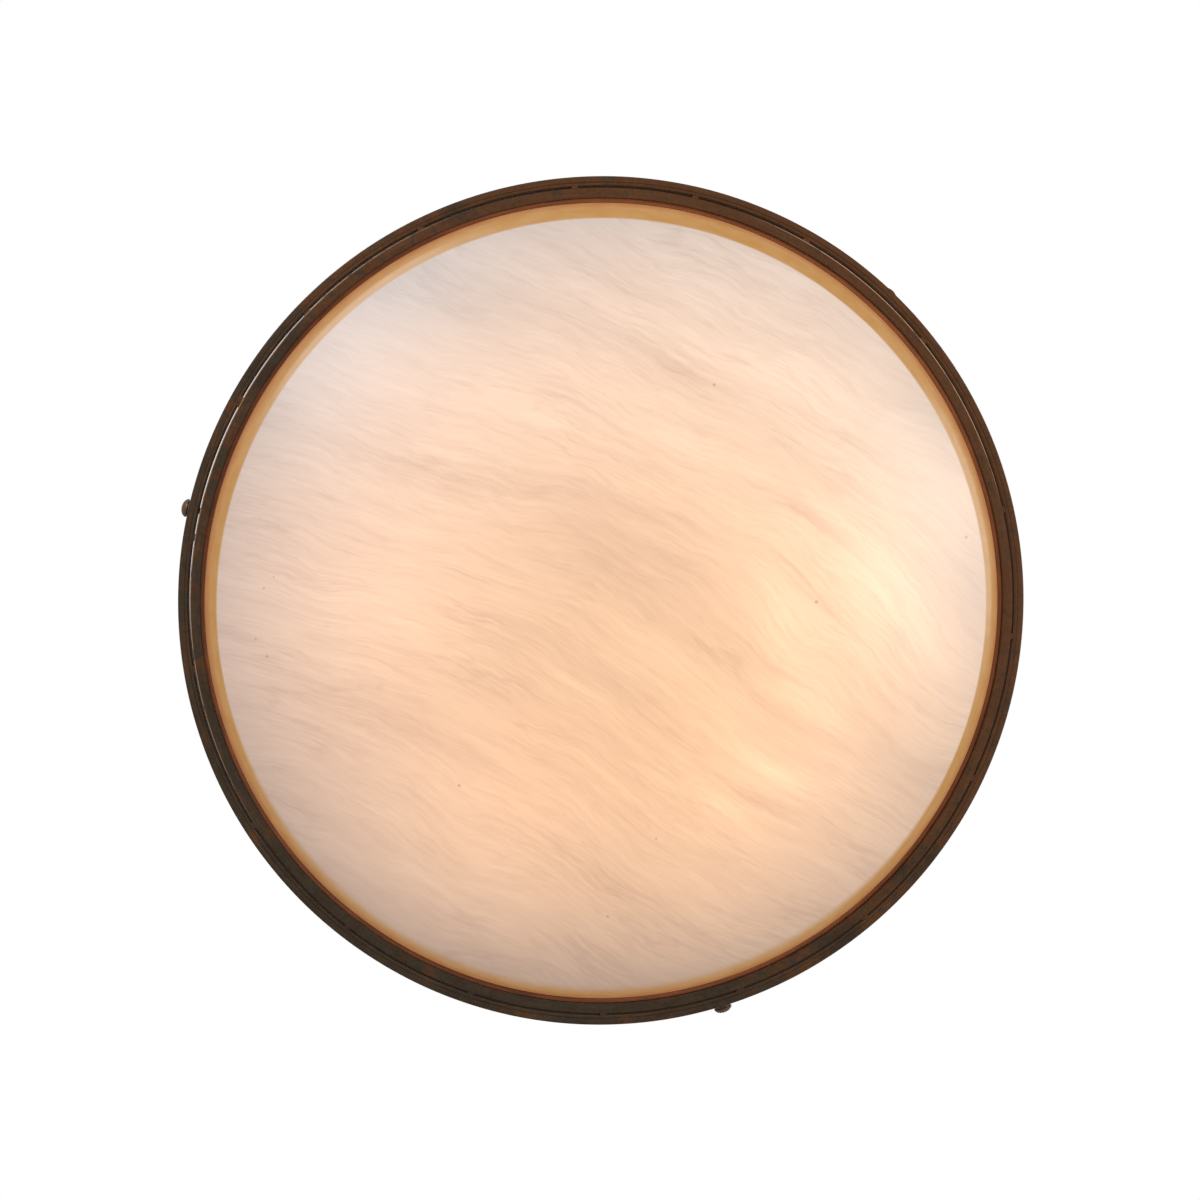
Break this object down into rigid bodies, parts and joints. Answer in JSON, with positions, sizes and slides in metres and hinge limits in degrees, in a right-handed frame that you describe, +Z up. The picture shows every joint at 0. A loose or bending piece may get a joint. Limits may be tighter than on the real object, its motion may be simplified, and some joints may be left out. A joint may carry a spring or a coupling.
{
  "type": "flush ceiling light",
  "caption": "Round flush ceiling light: shallow veined glowing bowl in a slotted double metal hoop, domed thumbscrews at the side, spun pan and screw-in lamps inside.",
  "frame": {"origin": "centre of the mounting plane, where the strap and the pan's back meet the ceiling", "axes": "+Z up into the ceiling; the light hangs down along -Z; +X runs along the strap"},
  "size_m": [0.61, 0.61, 0.1576],
  "materials": {
    "rust_bronze": "dark brown patina mottled with rust and grey, satin",
    "red_bronze": "reddish brown, satin",
    "white_enamel": "white, satin",
    "zinc_steel": "zinc plated",
    "brass": "plain",
    "porcelain": "glazed",
    "frosted_lamp": "frosted, lit",
    "felt": "felt",
    "veined_diffuser": "cast, veined like alabaster, lit from behind",
    "wire": "sleeved leads"
  },
  "bodies": {
    "pan": {"ceiling_pan": "rust_bronze", "mounting_strap": "zinc_steel", "strap_stud_1": "zinc_steel", "strap_stud_2": "zinc_steel", "cap_nut_1": "brass", "cap_nut_2": "brass", "ground_screw": "brass", "pan_nipple": "brass", "nipple_locknut": "brass", "wiring_cover": "white_enamel", "cover_nut": "brass", "wiring_loom": "wire", "lampholder_1": "porcelain", "lampholder_2": "porcelain", "lampholder_3": "porcelain", "lampholder_4": "porcelain", "lampholder_5": "porcelain", "lampholder_6": "porcelain", "socket_bracket_1": "zinc_steel", "socket_bracket_2": "zinc_steel", "socket_bracket_3": "zinc_steel", "socket_bracket_4": "zinc_steel", "socket_bracket_5": "zinc_steel", "socket_bracket_6": "zinc_steel"},
    "shade": {"outer_hoop": "rust_bronze", "inner_hoop": "rust_bronze", "retaining_lip": "red_bronze", "diffuser_gasket": "felt", "diffuser": "veined_diffuser", "spacer_tab_01": "rust_bronze", "spacer_tab_02": "rust_bronze", "spacer_tab_03": "rust_bronze", "spacer_tab_04": "rust_bronze", "spacer_tab_05": "rust_bronze", "spacer_tab_06": "rust_bronze", "spacer_tab_07": "rust_bronze", "spacer_tab_08": "rust_bronze", "spacer_tab_09": "rust_bronze", "spacer_tab_10": "rust_bronze", "spacer_tab_11": "rust_bronze", "spacer_tab_12": "rust_bronze", "spacer_tab_13": "rust_bronze", "spacer_tab_14": "rust_bronze", "spacer_tab_15": "rust_bronze", "spacer_tab_16": "rust_bronze", "spacer_tab_17": "rust_bronze", "spacer_tab_18": "rust_bronze"},
    "washer_1": {"thumb_washer_1": "brass"},
    "screw_1": {"thumbscrew_1": "rust_bronze"},
    "washer_2": {"thumb_washer_2": "brass"},
    "screw_2": {"thumbscrew_2": "rust_bronze"},
    "washer_3": {"thumb_washer_3": "brass"},
    "screw_3": {"thumbscrew_3": "rust_bronze"},
    "lamp_1": {"bulb_1": "frosted_lamp"},
    "lamp_2": {"bulb_2": "frosted_lamp"},
    "lamp_3": {"bulb_3": "frosted_lamp"},
    "lamp_4": {"bulb_4": "frosted_lamp"},
    "lamp_5": {"bulb_5": "frosted_lamp"},
    "lamp_6": {"bulb_6": "frosted_lamp"}
  },
  "joints": [
    {"name": "shade_drop", "type": "slide", "parent": "pan", "child": "shade", "axis": [0, 0, -1], "range_m": [0, 0.12]},
    {"name": "thumbscrew_1_travel", "type": "slide", "parent": "shade", "child": "washer_1", "axis": [0.6845, -0.729, 0], "range_m": [0, 0.008]},
    {"name": "thumbscrew_1_turn", "type": "hinge", "parent": "washer_1", "child": "screw_1", "pos_m": [0, 0, -0.067], "axis": [0.6845, -0.729, 0], "range_deg": [0, 3601]},
    {"name": "thumbscrew_2_travel", "type": "slide", "parent": "shade", "child": "washer_2", "axis": [-0.9751, -0.2215, 0], "range_m": [0, 0.008]},
    {"name": "thumbscrew_2_turn", "type": "hinge", "parent": "washer_2", "child": "screw_2", "pos_m": [0, 0, -0.067], "axis": [-0.9751, -0.2215, 0], "range_deg": [0, 3601]},
    {"name": "thumbscrew_3_travel", "type": "slide", "parent": "shade", "child": "washer_3", "axis": [0.284, 0.9588, 0], "range_m": [-0.0047, 0.005]},
    {"name": "thumbscrew_3_turn", "type": "hinge", "parent": "washer_3", "child": "screw_3", "pos_m": [0, 0, -0.067], "axis": [0.284, 0.9588, 0], "range_deg": [-2116, 2251]},
    {"name": "bulb_1_out", "type": "slide", "parent": "pan", "child": "lamp_1", "axis": [1, 0, 0], "range_m": [0, 0.03]},
    {"name": "bulb_2_out", "type": "slide", "parent": "pan", "child": "lamp_2", "axis": [0.5, -0.866, 0], "range_m": [0, 0.03]},
    {"name": "bulb_3_out", "type": "slide", "parent": "pan", "child": "lamp_3", "axis": [-0.5, -0.866, 0], "range_m": [0, 0.03]},
    {"name": "bulb_4_out", "type": "slide", "parent": "pan", "child": "lamp_4", "axis": [-1, 0, 0], "range_m": [0, 0.03]},
    {"name": "bulb_5_out", "type": "slide", "parent": "pan", "child": "lamp_5", "axis": [-0.5, 0.866, 0], "range_m": [0, 0.03]},
    {"name": "bulb_6_out", "type": "slide", "parent": "pan", "child": "lamp_6", "axis": [0.5, 0.866, 0], "range_m": [0, 0.03]}
  ],
  "couplings": [
    {"joint": "thumbscrew_1_turn", "follows": "thumbscrew_1_travel", "rad_per_m": 7854},
    {"joint": "thumbscrew_2_turn", "follows": "thumbscrew_2_travel", "rad_per_m": 7854},
    {"joint": "thumbscrew_3_turn", "follows": "thumbscrew_3_travel", "rad_per_m": 7854}
  ]
}
